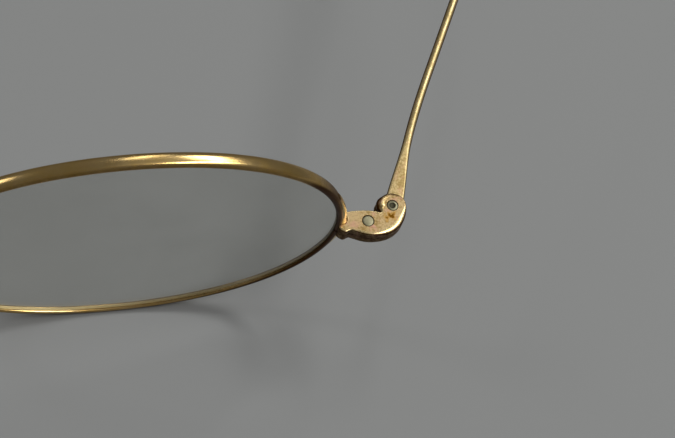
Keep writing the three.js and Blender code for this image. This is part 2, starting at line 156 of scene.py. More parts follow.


# Patches of two golds with a copper blush over them, then paler or darker by each point's value,
# for rubbing and tarnish and as painted highlight and shade, whose edges the grime makes ragged;
# the dark share and deep patches are duller, the pale share is glossier
def goldMaterial(shine, stained=False):
    material, tree = newMaterial(shine["name"])
    coords = addNode(tree, "ShaderNodeTexCoord").outputs["Object"]
    patch = addNode(tree, "ShaderNodeTexNoise", {
        "Vector": coords, "Scale": metre / goldFinish["patchMm"], "Detail": 3.0}).outputs["Fac"]
    blush = addNode(tree, "ShaderNodeTexNoise", {
        "Vector": coords, "Scale": metre / goldFinish["blushMm"], "Detail": 2.0,
        "Distortion": 0.6}).outputs["Fac"]
    grime = addNode(tree, "ShaderNodeTexNoise", {
        "Vector": coords, "Scale": metre / goldFinish["grimeMm"], "Detail": 4.0}).outputs["Fac"]
    grain = addNode(tree, "ShaderNodeTexNoise", {
        "Vector": coords, "Scale": metre / goldFinish["grainMm"], "Detail": 2.0}).outputs["Fac"]
    wearAndPaintedLight = addNode(tree, "ShaderNodeAttribute", attribute_name="wearAndPaintedLight").outputs["Fac"]

    mottled = addNode(tree, "ShaderNodeMath", {0: grain, 1: shine["mottling"], 2: patch},
                      operation="MULTIPLY_ADD").outputs["Value"]
    grainMean = shine["mottling"] / 2  # noise has a mean of a half
    patchShare = addNode(tree, "ShaderNodeMapRange", {
        "Value": mottled, "From Min": goldFinish["patchRange"][0] + grainMean,
        "From Max": goldFinish["patchRange"][1] + grainMean}).outputs["Result"]
    base = addNode(tree, "ShaderNodeMix", {
        "Factor": patchShare, "A": toLinear(shine["clean"]),
        "B": toLinear(shine["deep"])}, data_type="RGBA")
    blushShare = addNode(tree, "ShaderNodeMapRange", {
        "Value": blush, "From Min": goldFinish["blushRange"][0],
        "From Max": goldFinish["blushRange"][1],
        "To Max": shine["blushShare"]}).outputs["Result"]
    blushed = addNode(tree, "ShaderNodeMix", {
        "Factor": blushShare, "A": base.outputs["Result"],
        "B": toLinear(goldFinish["blush"])}, data_type="RGBA")
    rubHighlightShare = addNode(tree, "ShaderNodeMapRange", {
        "Value": wearAndPaintedLight, "From Min": 0.0, "From Max": -1.0}).outputs["Result"]
    rubbedAndHighlight = addNode(tree, "ShaderNodeMix", {
        "Factor": rubHighlightShare, "A": blushed.outputs["Result"],
        "B": toLinear(goldFinish["rubbedAndHighlight"])}, data_type="RGBA")
    grimeEdge = addNode(tree, "ShaderNodeMath", {
        0: grime, 1: shine["grimeShare"], 2: -shine["grimeShare"] / 2},
        operation="MULTIPLY_ADD").outputs["Value"]
    aged = addNode(tree, "ShaderNodeMath", {0: wearAndPaintedLight, 1: grimeEdge},
                   operation="ADD").outputs["Value"]
    tarnishShadeShare = addNode(tree, "ShaderNodeMapRange", {
        "Value": aged, "From Min": goldFinish["tarnishShadeRange"][0],
        "From Max": goldFinish["tarnishShadeRange"][1]},
        interpolation_type="SMOOTHSTEP").outputs["Result"]
    coloured = addNode(tree, "ShaderNodeMix", {
        "Factor": tarnishShadeShare, "A": rubbedAndHighlight.outputs["Result"],
        "B": toLinear(goldFinish["tarnishAndShade"])}, data_type="RGBA").outputs["Result"]
    if stained:
        middle = toFrame(rimEnd + stain["place"])
        away = addNode(tree, "ShaderNodeVectorMath", {0: coords, 1: middle.tolist()},
                       operation="DISTANCE").outputs["Value"]
        ragged = addNode(tree, "ShaderNodeMath", {
            0: grime, 1: -stain["raggedMm"] / metre, 2: away},
            operation="MULTIPLY_ADD").outputs["Value"]
        reach = (stain["reachMm"] - stain["raggedMm"] / 2) / metre
        soft = stain["softMm"] / metre
        for colour, spread in (("halo", stain["haloMm"] / metre), ("colour", 0.0)):
            spot = addNode(tree, "ShaderNodeMapRange", {
                "Value": ragged, "From Min": reach + spread + soft,
                "From Max": reach + spread / 2 - soft}).outputs["Result"]
            coloured = addNode(tree, "ShaderNodeMix", {
                "Factor": spot, "A": coloured, "B": toLinear(stain[colour])},
                data_type="RGBA").outputs["Result"]

    # fine rubbing scratches, drawn a little coarser than the real ones so that they show
    scratch = addNode(tree, "ShaderNodeTexNoise", {
        "Vector": coords, "Scale": metre / goldFinish["scratchMm"], "Detail": 3.0}).outputs["Fac"]
    dull = addNode(tree, "ShaderNodeMath", {
        0: tarnishShadeShare, 1: goldFinish["tarnishShadeDulls"], 2: shine["roughness"]},
        operation="MULTIPLY_ADD").outputs["Value"]
    rough = addNode(tree, "ShaderNodeMath", {
        0: patchShare, 1: goldFinish["patchDulls"], 2: dull},
        operation="MULTIPLY_ADD").outputs["Value"]
    polish = addNode(tree, "ShaderNodeMath", {
        0: rubHighlightShare, 1: -shine["polish"], 2: 1.0}, operation="MULTIPLY_ADD").outputs["Value"]
    rough = addNode(tree, "ShaderNodeMath", {0: rough, 1: polish},
                    operation="MULTIPLY").outputs["Value"]
    relief = addNode(tree, "ShaderNodeBump", {
        "Strength": goldFinish["scratchStrength"],
        "Distance": goldFinish["scratchDepthMm"] / metre, "Height": scratch}).outputs["Normal"]
    surface = addNode(tree, "ShaderNodeBsdfPrincipled", {
        "Base Color": coloured, "Metallic": 1.0, "Roughness": rough, "Normal": relief})
    addNode(tree, "ShaderNodeOutputMaterial", {"Surface": surface.outputs["BSDF"]})
    return material


# Low-carbon steel, filed flush by hand and dulled green-grey by old brass polish
steelFinish = {"clean": "#9c977c", "dull": "#787358", "tarnishAndShade": "#1d1a12", "patchMm": 0.3,
               "fileMm": 0.05, "roughness": 0.42, "patchDulls": 0.2, "tarnishShadeDulls": 0.4,
               "fileStrength": 0.4, "fileDepthMm": 0.01}


def steelMaterial():
    material, tree = newMaterial("filedScrewSteel")
    coords = addNode(tree, "ShaderNodeTexCoord").outputs["Object"]
    wearAndPaintedLight = addNode(tree, "ShaderNodeAttribute", attribute_name="wearAndPaintedLight").outputs["Fac"]
    patch = addNode(tree, "ShaderNodeTexNoise", {
        "Vector": coords, "Scale": metre / steelFinish["patchMm"], "Detail": 3.0}).outputs["Fac"]
    base = addNode(tree, "ShaderNodeMix", {
        "Factor": patch, "A": toLinear(steelFinish["clean"]),
        "B": toLinear(steelFinish["dull"])}, data_type="RGBA").outputs["Result"]
    tarnishShadeShare = addNode(tree, "ShaderNodeMapRange", {"Value": wearAndPaintedLight}).outputs["Result"]
    coloured = addNode(tree, "ShaderNodeMix", {
        "Factor": tarnishShadeShare, "A": base, "B": toLinear(steelFinish["tarnishAndShade"])},
        data_type="RGBA").outputs["Result"]
    grain = addNode(tree, "ShaderNodeTexNoise", {
        "Vector": coords, "Scale": metre / steelFinish["fileMm"], "Detail": 2.0}).outputs["Fac"]
    filed = addNode(tree, "ShaderNodeMath", {
        0: patch, 1: steelFinish["patchDulls"],
        2: steelFinish["roughness"] - steelFinish["patchDulls"] / 2},
        operation="MULTIPLY_ADD").outputs["Value"]
    rough = addNode(tree, "ShaderNodeMath", {0: wearAndPaintedLight, 1: steelFinish["tarnishShadeDulls"], 2: filed},
                    operation="MULTIPLY_ADD", use_clamp=True).outputs["Value"]
    relief = addNode(tree, "ShaderNodeBump", {
        "Strength": steelFinish["fileStrength"],
        "Distance": steelFinish["fileDepthMm"] / metre, "Height": grain}).outputs["Normal"]
    surface = addNode(tree, "ShaderNodeBsdfPrincipled", {
        "Base Color": coloured, "Metallic": 1.0, "Roughness": rough, "Normal": relief})
    addNode(tree, "ShaderNodeOutputMaterial", {"Surface": surface.outputs["BSDF"]})
    return material


# Crown glass, ground and polished: clear, with a film of dust that greys it and a few specks.
# The bevel is left matt by the wheel, and is painted a metallic gold that stands for the gold of
# the groove seen through it: a painted reflection.
lensFinish = {"clear": "#e6e7e3", "film": "#d4d5d0", "speck": "#6f6d66", "edge": "#93835d",
              "filmMm": 6.0, "speckMm": 2.6, "speckShare": 0.06, "speckStrength": 0.5,
              "roughness": 0.02, "edgeDulls": 0.5, "refraction": 1.52}


def lensMaterial():
    material, tree = newMaterial("dustyCrownGlass")
    coords = addNode(tree, "ShaderNodeTexCoord").outputs["Object"]
    film = addNode(tree, "ShaderNodeTexNoise", {
        "Vector": coords, "Scale": metre / lensFinish["filmMm"], "Detail": 4.0,
        "Distortion": 0.8}).outputs["Fac"]
    dots = addNode(tree, "ShaderNodeTexVoronoi", {
        "Vector": coords, "Scale": metre / lensFinish["speckMm"]}).outputs["Distance"]
    wearAndPaintedLight = addNode(tree, "ShaderNodeAttribute", attribute_name="wearAndPaintedLight").outputs["Fac"]
    hazed = addNode(tree, "ShaderNodeMix", {
        "Factor": film, "A": toLinear(lensFinish["clear"]),
        "B": toLinear(lensFinish["film"])}, data_type="RGBA").outputs["Result"]
    speckShare = addNode(tree, "ShaderNodeMapRange", {
        "Value": dots, "From Min": lensFinish["speckShare"],
        "From Max": lensFinish["speckShare"] / 2,
        "To Max": lensFinish["speckStrength"]}).outputs["Result"]
    specked = addNode(tree, "ShaderNodeMix", {
        "Factor": speckShare, "A": hazed, "B": toLinear(lensFinish["speck"])},
        data_type="RGBA").outputs["Result"]
    # painted reflection: on the bevel the glass takes the groove's gold and turns metallic
    coloured = addNode(tree, "ShaderNodeMix", {
        "Factor": wearAndPaintedLight, "A": specked, "B": toLinear(lensFinish["edge"])},
        data_type="RGBA").outputs["Result"]
    ground = addNode(tree, "ShaderNodeMath", {
        0: wearAndPaintedLight, 1: lensFinish["edgeDulls"], 2: lensFinish["roughness"]},
        operation="MULTIPLY_ADD").outputs["Value"]
    surface = addNode(tree, "ShaderNodeBsdfPrincipled", {
        "Base Color": coloured, "Metallic": wearAndPaintedLight, "Roughness": ground,
        "IOR": lensFinish["refraction"], "Transmission Weight": 1.0})
    addNode(tree, "ShaderNodeOutputMaterial", {"Surface": surface.outputs["BSDF"]})
    return material


rimGold = goldMaterial(rimShine)
plateGold = goldMaterial(plateShine, stained=True)
templeGold = goldMaterial(templeShine)
screwSteel = steelMaterial()
lensGlass = lensMaterial()
print("materials made")

meshing = {"merge": 1e-7, "sliver": 1e-8, "sharpAngle": 38}  # in metres and degrees


# A sheet is a grid of points in mm, whose columns close on themselves, and a value per point: 1
# where tarnish lies or shade is painted, -1 where handling has rubbed it bright or a highlight is
# painted. Sheets that share an edge are merged there into one closed mesh, which is mirrored in x
# for the wearer's right side.
def makePiece(name, sheets, material, body, nodes, sign=1):
    points, faces, ages, start = [], [], [], 0
    for grid, wearAndPaintedLight in sheets:
        rows, columns = grid.shape[:2]
        i, j = np.meshgrid(np.arange(rows - 1), np.arange(columns), indexing="ij")
        k = (j + 1) % columns
        corners = [i * columns + j, i * columns + k, (i + 1) * columns + k, (i + 1) * columns + j]
        faces.append(start + np.stack(corners, -1).reshape(-1, 4))
        points.append(grid.reshape(-1, 3))
        ages.append(np.broadcast_to(wearAndPaintedLight, (rows, columns)).reshape(-1))
        start += rows * columns
    placed = toFrame(np.concatenate(points) * (sign, 1, 1))
    mesh = bpy.data.meshes.new(name)
    mesh.from_pydata(placed.tolist(), [], np.concatenate(faces).tolist())
    layer = mesh.attributes.new("wearAndPaintedLight", "FLOAT", "POINT")
    layer.data.foreach_set("value", np.concatenate(ages).astype(np.float32))
    whole = bmesh.new()
    whole.from_mesh(mesh)
    bmesh.ops.remove_doubles(whole, verts=whole.verts, dist=meshing["merge"])
    bmesh.ops.dissolve_degenerate(whole, edges=whole.edges, dist=meshing["sliver"])
    bmesh.ops.recalc_face_normals(whole, faces=whole.faces)
    whole.to_mesh(mesh)
    whole.free()
    mesh.shade_smooth()
    mesh.set_sharp_from_angle(angle=np.radians(meshing["sharpAngle"]))
    mesh.materials.append(material)
    piece = bpy.data.objects.new(name, mesh)
    bpy.context.scene.collection.objects.link(piece)
    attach(piece, body)
    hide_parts(*nodes)
    return piece


# Points at a distance out from the eyewire's outer oval, along the normal of an ellipse; the oval
# stands out from that ellipse by shoulder * sin(2 angle)^2
def ovalPoints(angle, out, back):
    wide, tall = eye["halfWidth"], eye["halfHeight"]
    cos, sin = np.cos(angle), np.sin(angle)
    beyond = (out + eye["shoulder"] * np.sin(2 * angle) ** 2) / np.hypot(tall * cos, wide * sin)
    x = eye["centre"] + (wide + beyond * tall) * cos
    z = (tall + beyond * wide) * sin
    return np.stack(np.broadcast_arrays(x, back, z), -1)


# A lathe: a profile of radius and height turned about an upright axis through a centre
def turned(profile, centre, steps=72):
    radius, height = np.array(profile).T[..., None]
    angle = np.linspace(0, 2 * np.pi, steps, endpoint=False)
    ring = np.broadcast_arrays(radius * np.cos(angle), radius * np.sin(angle), height)
    return np.stack(ring, -1) + centre


# A skin with its two end rings drawn in to their middles
def capped(rings):
    return np.concatenate([np.broadcast_to(rings[:1].mean(1, keepdims=True), rings[:1].shape),
                           rings,
                           np.broadcast_to(rings[-1:].mean(1, keepdims=True), rings[-1:].shape)])


# The drawn-in rings have the age of the end rings
def cappedAge(wearAndPaintedLight):
    return np.vstack([wearAndPaintedLight[:1], wearAndPaintedLight, wearAndPaintedLight[-1:]])


# Here and below, lengths are in mm and bearings in degrees, and a pair that goes to easeIn says
# where the ease begins and where it ends
eyewire = {"depth": 1.34, "thickness": 0.62, "crown": 0.42, "fullness": 2.4, "groove": 0.28,
           "lip": 0.2, "lipRound": 0.16, "endGap": 0.16, "steps": 420, "crownSteps": 37,
           "lipSteps": 6, "grimeShadeAbove": (12.5, 6.5), "grimeShadeBelow": (26.0, 3.0),
           "grimeAndShade": 0.95, "crownWearAndHighlight": -0.15, "flankTarnishAndShade": 0.55, "flankBand": (0.5, 1.0),
           "lipAge": (0.3, -0.2), "grooveAge": 1.0}


# Section: outside, |back / half|^n + |1 + out / crown|^n = 1; inside, two round lips and a V groove
def eyewireSection():
    half = eyewire["depth"] / 2
    inner = -eyewire["thickness"]
    lip = half - eyewire["lip"]
    lipRound = eyewire["lipRound"]
    turn = np.linspace(-np.pi / 2, np.pi / 2, eyewire["crownSteps"])
    power = 2 / eyewire["fullness"]
    back = half * np.sign(np.sin(turn)) * np.abs(np.sin(turn)) ** power
    out = eyewire["crown"] * (np.abs(np.cos(turn)) ** power - 1)
    quarter = np.linspace(0, np.pi / 2, eyewire["lipSteps"])
    corner = np.stack([inner + lipRound * (1 - np.sin(quarter)),
                       half - lipRound * (1 - np.cos(quarter))], -1)
    side = np.vstack([corner, (inner, lip)])
    inside = np.vstack([side, (inner + eyewire["groove"], 0), side[::-1] * (1, -1)])
    # the flanks are darker than the crown, for tarnish and as painted shade on sides turned from
    # the light; the crown is a little paler, as wear and a slight painted highlight
    flank = easeIn(np.abs(back / half), *eyewire["flankBand"])
    outAge = between(eyewire["crownWearAndHighlight"], eyewire["flankTarnishAndShade"], flank)
    sideAge = np.r_[np.linspace(*eyewire["lipAge"], len(corner)), 0.0]
    inAge = np.r_[sideAge, eyewire["grooveAge"], sideAge[::-1]]
    return np.r_[out, inside[:, 0]], np.r_[back, inside[:, 1]], np.r_[outAge, inAge]


# The section carried round the oval from one side of the split to the other, darker near both
# ends, for grime at the joints and as painted shade
def addEyewire(side, sign):
    out, back, wearAndPaintedLight = eyewireSection()
    gap = eyewire["endGap"] / 2 / eye["halfHeight"]
    turn = np.linspace(gap, 2 * np.pi - gap, eyewire["steps"])[:, None]
    above = easeIn(turn * eye["halfHeight"], *eyewire["grimeShadeAbove"])
    below = easeIn((2 * np.pi - turn) * eye["halfHeight"], *eyewire["grimeShadeBelow"])
    grimyAndShaded = wearAndPaintedLight + eyewire["grimeAndShade"] * (above + below)
    rings = ovalPoints(splitAngle + turn, out, back)
    makePiece(side + "Eyewire", [(capped(rings), cappedAge(grimyAndShaded))], rimGold, "front",
              [side + "_eyewire"], sign)


lens = {"clearance": 0.05, "crown": 0.1, "rings": 40, "steps": 240}


# Each face bulges by crown * (1 - share^2) from its edge, a little only, because a fuller one
# mirrors the floor along the rim; between the faces a bevel runs into the groove
def addLens(side, sign):
    lip = eyewire["depth"] / 2 - eyewire["lip"]
    inset = lens["clearance"] * np.hypot(eyewire["groove"], lip) / lip
    edge = -eyewire["thickness"] - inset
    angle = np.linspace(0, 2 * np.pi, lens["steps"], endpoint=False)
    share = np.sin(np.linspace(0, np.pi / 2, lens["rings"]))[:, None, None]
    middle = np.array([eye["centre"], 0, 0])
    flat = middle + (ovalPoints(angle, edge, 0) - middle) * share
    bulge = (lip + lens["crown"] * (1 - share ** 2)) * np.array([0, 1, 0])
    bevel = ovalPoints(angle, edge + eyewire["groove"], 0)[None]
    rings = np.concatenate([flat - bulge, bevel, (flat + bulge)[::-1]])
    ground = np.zeros((len(rings), 1))
    ground[lens["rings"] - 1:lens["rings"] + 2] = 1
    piece = makePiece(side + "Lens", [(rings, ground)], lensGlass, "front",
                      [side + "_lens"], sign)
    piece.visible_shadow = False  # a clear lens hardly shades what lies under it
    piece.visible_diffuse = False


endPiece = {"height": 1.75, "split": 0.06, "rootBack": 0.74, "nubSide": (-0.38, -0.72),
            "nubCorner": (-0.24, -1.05), "nubTip": (0.15, -1.2), "waist": (0.77, -1.0),
            "armArc": 2.72, "backSwell": 0.1, "knuckle": 1.24, "notchAngle": 205,
            "shoulder": 0.19, "shoulderRise": (122, 156), "shoulderFall": (207, 180),
            "cutFront": (4.45, -1.42), "closing": (2.36, -0.3), "leafUnder": 0.35,
            "slotRadius": 1.2, "mouthStart": -27, "mouthReach": 1.6, "cornerEase": 0.045,
            "holeEase": 0.03, "holeMargin": 0.04, "edgeBack": 0.07, "edgeNub": 0.2,
            "edgeFront": 0.22, "edgeCorner": 0.56, "edgeDrop": 0.55, "edgeKnuckle": 0.34,
            "edgeMargin": 0.02, "ridge": 0.045, "ridgeFoot": 3, "frontFacing": (-0.3, 0.5),
            "nubRun": (1.0, 0.3), "waistRun": (0.5, 0.1), "cornerOut": (2.2, 4.2),
            "cornerBack": (1.2, -0.4), "knuckleRise": (20, 70), "knuckleFall": (208, 178),
            "knuckleReach": (1.56, 1.48), "ridgeRise": (90, 140), "firstBearing": -100,
            "steps": 512, "cutSteps": 16, "plateSteps": 6, "edgeSteps": 17, "mouthAge": 0.3,
            "boreAge": (0.4, 0.7, 1.0), "underAge": 0.9, "edgeWearAndPaintedLight": -0.6, "lowEdgeTarnishAndShade": 1.4,
            "lowBand": (0.66, 0.84), "shoulderShade": 1.25, "shoulderBand": (0.1, 0.5),
            "shoulderTurn": (100, 150), "outerShade": 1.0, "outerRise": (-22, 2),
            "outerFall": (138, 92), "wallTarnishAndShade": (0.5, 0.65, 0.7, 0.7, 0.7, 0.7)}
screw = {"closingRadius": 0.5, "pivotRadius": 0.48, "clearance": 0.03, "sink": 0.015,
         "headExtra": 0.34, "headHeight": 0.42, "slotWidth": 0.24, "slotDepth": 0.18,
         "seatGap": 0.03, "dimpleRadius": 0.3, "dimpleDepth": 0.12, "dimpleFloor": 0.12,
         "dimpleLip": (0.04, 0.06), "dome": 0.01, "domeRings": (0.25, 0.7), "ease": 0.03,
         "cheekEase": 0.93, "overlap": 0.01, "cheekSteps": 40, "slotSteps": 12,
         "dimpleDirtAndShade": (0.7, 0.7, 0.65, 0.1), "domeAge": (0.0, 0.0, 0.0),
         "shankAge": (0.15, 0.9, 1.0, 0.5, 0.2, 0.3, 0.6), "cheekAge": 0.1}
strap = {"start": 0.05, "reach": 6.4, "thickness": (0.34, 0.03), "width": (1.16, 0.6),
         "filletRise": 0.95, "filletOut": 0.42, "filletLean": 0.3, "roundness": 0.7,
         "tipPower": 12, "sunk": 0.06, "filletSteps": 18, "steps": 60, "sectionSteps": 32,
         "wearAndPaintedLight": -0.9, "tipGrimeAndShade": 1.6, "tipRun": (4.8, 6.0), "solderAge": 0.9,
         "solderRun": (0.6, 1.0)}
curveSteps = 120


# Points on a circle between two bearings in degrees
def arc(centre, radius, start, end, steps=curveSteps):
    angle = np.radians(np.linspace(start, end, steps))
    return np.array(centre) + radius * np.stack([np.cos(angle), np.sin(angle)], -1)


# Cubic blend of four points: (1 - t)^3 a + 3 (1 - t)^2 t b + 3 (1 - t) t^2 c + t^3 d
def cubic(a, b, c, d, steps=curveSteps):
    t = np.linspace(0, 1, steps)[:, None]
    a, b, c, d = np.array([a, b, c, d])
    return (1 - t) ** 3 * a + 3 * (1 - t) ** 2 * t * b + 3 * (1 - t) * t ** 2 * c + t ** 3 * d


# A closed line at even spacing, its corners eased by a bell-shaped filter along the line, which
# takes exp(-2 (pi wave ease)^2) of each of its waves
def easedLoop(points, count, ease):
    closed = np.vstack([points, points[:1]])
    run = np.r_[0, np.cumsum(np.linalg.norm(np.diff(closed, axis=0), axis=1))]
    finer = 8
    fine = count * finer
    at = np.linspace(0, run[-1], fine, endpoint=False)
    loop = np.interp(at, run, closed[:, 0]) + 1j * np.interp(at, run, closed[:, 1])
    wave = np.fft.fftfreq(fine, run[-1] / fine)
    loop = np.fft.ifft(np.fft.fft(loop) * np.exp(-2 * (np.pi * wave * ease) ** 2))[::finer]
    return np.stack([loop.real, loop.imag], -1)


# How far the knuckle stands out at a bearing from the pivot: a shoulder on the side of the lens
def shoulderOut(turn):
    rise, fall = endPiece["shoulderRise"], endPiece["shoulderFall"]
    return endPiece["shoulder"] * easeIn(turn, *rise) * easeIn(turn, *fall)


# The comma seen from above, in mm from the eyewire: nub, waist, bowed front, knuckle, hollow back
def endPieceLoop():
    e = endPiece
    side, corner, tip, waist = (np.array(e[key])
                                for key in ("nubSide", "nubCorner", "nubTip", "waist"))
    nub = cubic(side, (side + 2 * corner) / 3, (tip + 2 * corner) / 3, tip)
    ease = ((waist[0] - tip[0]) / 2, 0)
    neck = cubic(tip, tip + ease, waist - ease, waist)
    bowEnd = np.array((hinge["out"] + e["knuckle"], hinge["back"])) - e["armArc"]
    run, dip = bowEnd - waist
    bow = cubic(waist, waist + (run / 4, dip / 2), bowEnd - (run / 2, 0), bowEnd)
    arm = arc(bowEnd + (0, e["armArc"]), e["armArc"], -90, 0)
    bearing = np.linspace(0, e["notchAngle"], curveSteps)
    radius = (e["knuckle"] + shoulderOut(bearing))[:, None]
    knuckle = arc((hinge["out"], hinge["back"]), radius, 0, e["notchAngle"])
    swell = np.array((e["closing"][0], e["rootBack"] + e["backSwell"]))
    waistBack = np.array((waist[0], e["rootBack"]))
    hollow = cubic(knuckle[-1], (knuckle[-1] + 2 * swell) / 3, (waistBack + 2 * swell) / 3,
                   waistBack)
    line = np.vstack([nub, neck[1:], bow[1:], arm[1:], knuckle[1:], hollow[1:],
                      (side[0], e["rootBack"])])
    return easedLoop(line, e["steps"], e["cornerEase"])


# One half of the end piece. Its plan is parted by a straight cut between the notch and the
# front, so that each zone is a grid of straight lines from a screw hole out to its border.
def endPieceSheets(direction):
    e = endPiece
    top, under = e["height"] / 2, e["split"] / 2
    loop = endPieceLoop()
    tangent = np.roll(loop, -1, 0) - np.roll(loop, 1, 0)
    tangent /= np.linalg.norm(tangent, axis=1, keepdims=True)
    inward = np.stack([-tangent[:, 1], tangent[:, 0]], -1)
    knuckleMiddle = np.array((hinge["out"], hinge["back"]))
    fromPivot = loop - knuckleMiddle
    turn = np.degrees(np.arctan2(fromPivot[:, 1], fromPivot[:, 0]))
    turn = np.where(turn < e["firstBearing"], turn + 360, turn)
    near = np.linalg.norm(fromPivot, axis=1)
    notchPoint = arc(knuckleMiddle, e["knuckle"], e["notchAngle"], e["notchAngle"], 1)
    notch = np.argmin(np.linalg.norm(loop - notchPoint, axis=1))
    front = np.argmin(np.linalg.norm(loop - e["cutFront"], axis=1))
    mouth = (turn > e["mouthStart"]) & (np.arange(len(loop)) < notch) & (near < e["mouthReach"])
    floor = np.where(mouth, e["leafUnder"], under)

    # radius of the worn edge: slight behind the arm and at the waist, wider on the nub and in
    # front, widest at the front corner; round the knuckle a low ridge stands inside it
    onFront = easeIn(inward[:, 1], *e["frontFacing"])
    onNub = onFront * easeIn(loop[:, 0], *e["nubRun"])
    onWaist = onFront * easeIn(np.abs(loop[:, 0] - e["waist"][0]), *e["waistRun"])
    onCorner = easeIn(loop[:, 0], *e["cornerOut"]) * easeIn(loop[:, 1], *e["cornerBack"])
    atKnuckle = easeIn(near, *e["knuckleReach"])
    onKnuckle = easeIn(turn, *e["knuckleRise"]) * easeIn(turn, *e["knuckleFall"]) * atKnuckle
    inward += (-fromPivot / near[:, None] - inward) * onKnuckle[:, None]
    inward /= np.linalg.norm(inward, axis=1, keepdims=True)
    edge = (between(e["edgeBack"], e["edgeFront"], onFront)
            + (e["edgeNub"] - e["edgeFront"]) * onNub
            + (e["edgeCorner"] - e["edgeFront"]) * onCorner
            + (e["edgeKnuckle"] - e["edgeBack"]) * onKnuckle
            + (e["edgeBack"] - e["edgeFront"]) * onWaist
            + onKnuckle * shoulderOut(turn))
    lift = e["ridge"] * onKnuckle * easeIn(turn, *e["ridgeRise"])
    lift[notch] = 0
    inset = loop + inward * edge[:, None]
    support = loop + inward * (edge + e["edgeMargin"] + e["ridgeFoot"] * lift)[:, None]
    support[[notch, front]] = inset[[notch, front]]
    leafZone = np.arange(front, notch + 1)
    clampZone = np.r_[np.arange(notch, len(loop)), np.arange(0, front + 1)]

    # border of a zone: its stretch of the loop, then the cut back to where it began
    def border(line, zone):
        share = np.linspace(0, 1, e["cutSteps"] + 2)[1:-1, None]
        return np.vstack([line[zone], between(line[zone[-1]], line[zone[0]], share)])

    # a line of the plan at a height
    def ring(plan, height):
        flat = np.broadcast_to(height, plan.shape[:1])
        return np.column_stack([plan, flat])

    # a border whose bearing from a middle never turns back, so that no strip folds over the next
    def onward(line, middle):
        away = line - middle
        bearing = np.maximum.accumulate(np.unwrap(np.arctan2(away[:, 1], away[:, 0])))
        reach = np.linalg.norm(away, axis=1, keepdims=True)
        return middle + reach * np.stack([np.cos(bearing), np.sin(bearing)], -1)

    sheets = []
    for zone, middle, radius, isLeaf in (
            (leafZone, knuckleMiddle, screw["pivotRadius"], True),
            (clampZone, np.array(e["closing"]), screw["closingRadius"], False)):
        hole = radius + screw["clearance"]
        upper = onward(border(support, zone), middle)
        lower = border(loop, zone)
        aimUpper = (upper - middle) / np.linalg.norm(upper - middle, axis=1, keepdims=True)
        aimLower = (lower - middle) / np.linalg.norm(lower - middle, axis=1, keepdims=True)
        mouthOfHole = middle + aimUpper * (hole + e["holeEase"])
        rim = middle + aimUpper * (hole + e["holeEase"] + e["holeMargin"])
        plate = [ring(between(rim, upper, share), top)
                 for share in np.linspace(0, 1, e["plateSteps"])]
        raised = border(np.column_stack([inset, top + lift]), zone)
        lines = [ring(mouthOfHole, top)] + plate + [raised]
        plateAge = np.zeros((len(lines), 1))
        plateAge[0] = e["mouthAge"]
        sheets.append((np.array(lines), plateAge))
        foot = e["leafUnder"] if isLeaf else under
        bore = [ring(mouthOfHole, top), ring(middle + aimUpper * hole, top - e["holeEase"]),
                ring(middle + aimLower * hole, foot)]
        sheets.append((np.array(bore), np.array(e["boreAge"])[:, None]))
        if isLeaf:
            step = np.r_[floor[zone], np.full(e["cutSteps"], under)]
            seat = middle + aimLower * e["slotRadius"]
            lines = [ring(middle + aimLower * hole, foot), ring(seat, foot), ring(seat, step),
                     ring(lower, step)]
        else:
            lines = [ring(middle + aimLower * hole, foot), ring(lower, foot)]
        sheets.append((np.array(lines), e["underAge"]))

    # edge: a quarter of an ellipse, rubbed bright above, as wear and a painted highlight; low down
    # darker, for tarnish and as painted shade; painted shade over the shoulder and round the
    # knuckle's outer side; then the wall down to the split or leaf, dark for tarnish and as painted
    # shade
    quarter = np.linspace(0, np.pi / 2, e["edgeSteps"])
    level = top + lift
    drop = e["edgeDrop"] * edge
    lines = [ring(loop + inward * edge[:, None] * (1 - np.sin(q)), level - drop * (1 - np.cos(q)))
             for q in quarter]
    outward = np.sin(quarter)[:, None]
    onShoulder = onKnuckle * easeIn(turn, *e["shoulderTurn"])
    onOuter = easeIn(turn, *e["outerRise"]) * easeIn(turn, *e["outerFall"]) * atKnuckle
    edgeWearAndPaintedLight = (e["edgeWearAndPaintedLight"] + e["outerShade"] * onOuter
               + e["shoulderShade"] * onShoulder * easeIn(outward, *e["shoulderBand"])
               + e["lowEdgeTarnishAndShade"] * easeIn(outward, *e["lowBand"]))
    sheets.append((np.array(lines), edgeWearAndPaintedLight))
    brow = level - drop
    wall = [ring(loop, between(brow, floor, share))
            for share in np.linspace(0, 1, len(e["wallTarnishAndShade"]))]
    sheets.append((np.array(wall), np.array(e["wallTarnishAndShade"])[:, None]))
    return [(grid * (1, 1, direction) + rimEnd, wearAndPaintedLight) for grid, wearAndPaintedLight in sheets]


